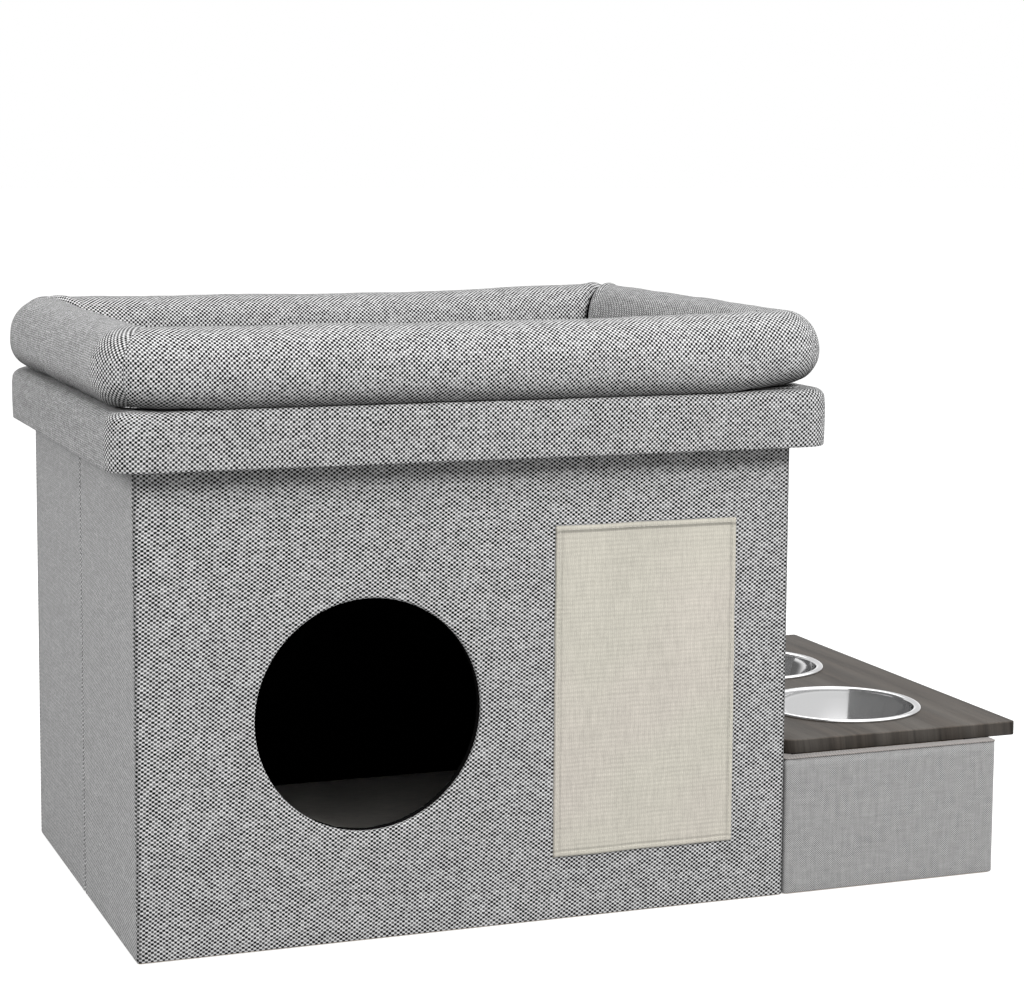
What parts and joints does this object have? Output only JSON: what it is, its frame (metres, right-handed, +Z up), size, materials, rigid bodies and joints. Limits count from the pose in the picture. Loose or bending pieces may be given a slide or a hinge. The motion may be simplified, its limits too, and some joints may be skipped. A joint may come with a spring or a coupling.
{
  "type": "cat house",
  "caption": "Fabric-covered cat house with a round entrance, cap lid, bolster bed on top, scratching sheet, and a low feeding box with a wood top and lift-out steel bowls.",
  "frame": {"origin": "on the floor, under the middle of the whole object with the feeding box docked", "axes": "+X from the house towards the feeding box, -Y out of the front with the entrance, +Z up"},
  "size_m": [0.7604, 0.4304, 0.4612],
  "materials": {
    "woven_cover": "coarse two-tone grey basket weave",
    "feeder_cover": "fine grey twill weave",
    "rim_binding": "plain woven tape",
    "black_lining": "black non-woven cloth",
    "mat_cloth": "dark brushed cloth",
    "sisal": "cream ribbed sisal weave",
    "foam": "open-cell foam",
    "fibreboard": "raw fibreboard",
    "black_board": "board covered with black cloth",
    "dark_wood": "dark grey-brown wood grain, satin",
    "stainless_steel": "polished stainless steel",
    "zinc_screw": "zinc plated"
  },
  "bodies": {
    "house": {"front_cover": "woven_cover", "back_cover": "woven_cover", "left_cover": "woven_cover", "right_cover": "woven_cover", "front_board": "fibreboard", "back_board": "fibreboard", "left_wall_front_half": "fibreboard", "left_wall_rear_half": "fibreboard", "right_wall_front_half": "fibreboard", "right_wall_rear_half": "fibreboard", "inner_lining": "black_lining", "entrance_binding": "black_lining", "bottom_cloth": "black_lining", "scratch_pad": "sisal"},
    "base": {"base_board": "black_board"},
    "mat": {"inner_mat": "mat_cloth"},
    "lid": {"lid_cover": "woven_cover", "lid_rail_front": "fibreboard", "lid_rail_right": "fibreboard", "lid_rail_back": "fibreboard", "lid_rail_left": "fibreboard", "lid_board": "fibreboard", "lid_foam": "foam", "lid_lining": "black_lining"},
    "bed": {"bolster_front": "woven_cover", "bolster_right": "woven_cover", "bolster_back": "woven_cover", "bolster_left": "woven_cover", "bed_base_cloth": "woven_cover", "bed_pad": "woven_cover"},
    "feeder": {"feeder_cover": "feeder_cover", "feeder_front_board": "fibreboard", "feeder_back_board": "fibreboard", "feeder_left_board": "fibreboard", "feeder_right_board": "fibreboard", "feeder_bottom_board": "fibreboard", "feeder_lining": "black_lining", "feeder_rim_binding": "rim_binding"},
    "feeder_top": {"feeder_top_board": "dark_wood", "feeder_batten_front": "fibreboard", "feeder_batten_rear": "fibreboard", "feeder_screw_1": "zinc_screw", "feeder_screw_2": "zinc_screw", "feeder_screw_3": "zinc_screw", "feeder_screw_4": "zinc_screw"},
    "bowl_front": {"bowl_front": "stainless_steel"},
    "bowl_rear": {"bowl_rear": "stainless_steel"}
  },
  "joints": [
    {"name": "base_board_lift", "type": "slide", "parent": "house", "child": "base", "axis": [0, 0, 1], "range_m": [0, 0.15]},
    {"name": "inner_mat_lift", "type": "slide", "parent": "base", "child": "mat", "axis": [0, 0, 1], "range_m": [0, 0.18]},
    {"name": "lid_lift", "type": "slide", "parent": "house", "child": "lid", "axis": [0, 0, 1], "range_m": [0, 0.15]},
    {"name": "bed_lift", "type": "slide", "parent": "lid", "child": "bed", "axis": [0, 0, 1], "range_m": [0, 0.12]},
    {"name": "feeder_slide", "type": "slide", "parent": "house", "child": "feeder", "axis": [1, 0, 0], "range_m": [0, 0.2]},
    {"name": "feeder_top_lift", "type": "slide", "parent": "feeder", "child": "feeder_top", "axis": [0, 0, 1], "range_m": [0, 0.12]},
    {"name": "bowl_front_lift", "type": "slide", "parent": "feeder_top", "child": "bowl_front", "axis": [0, 0, 1], "range_m": [0, 0.08]},
    {"name": "bowl_rear_lift", "type": "slide", "parent": "feeder_top", "child": "bowl_rear", "axis": [0, 0, 1], "range_m": [0, 0.08]}
  ]
}
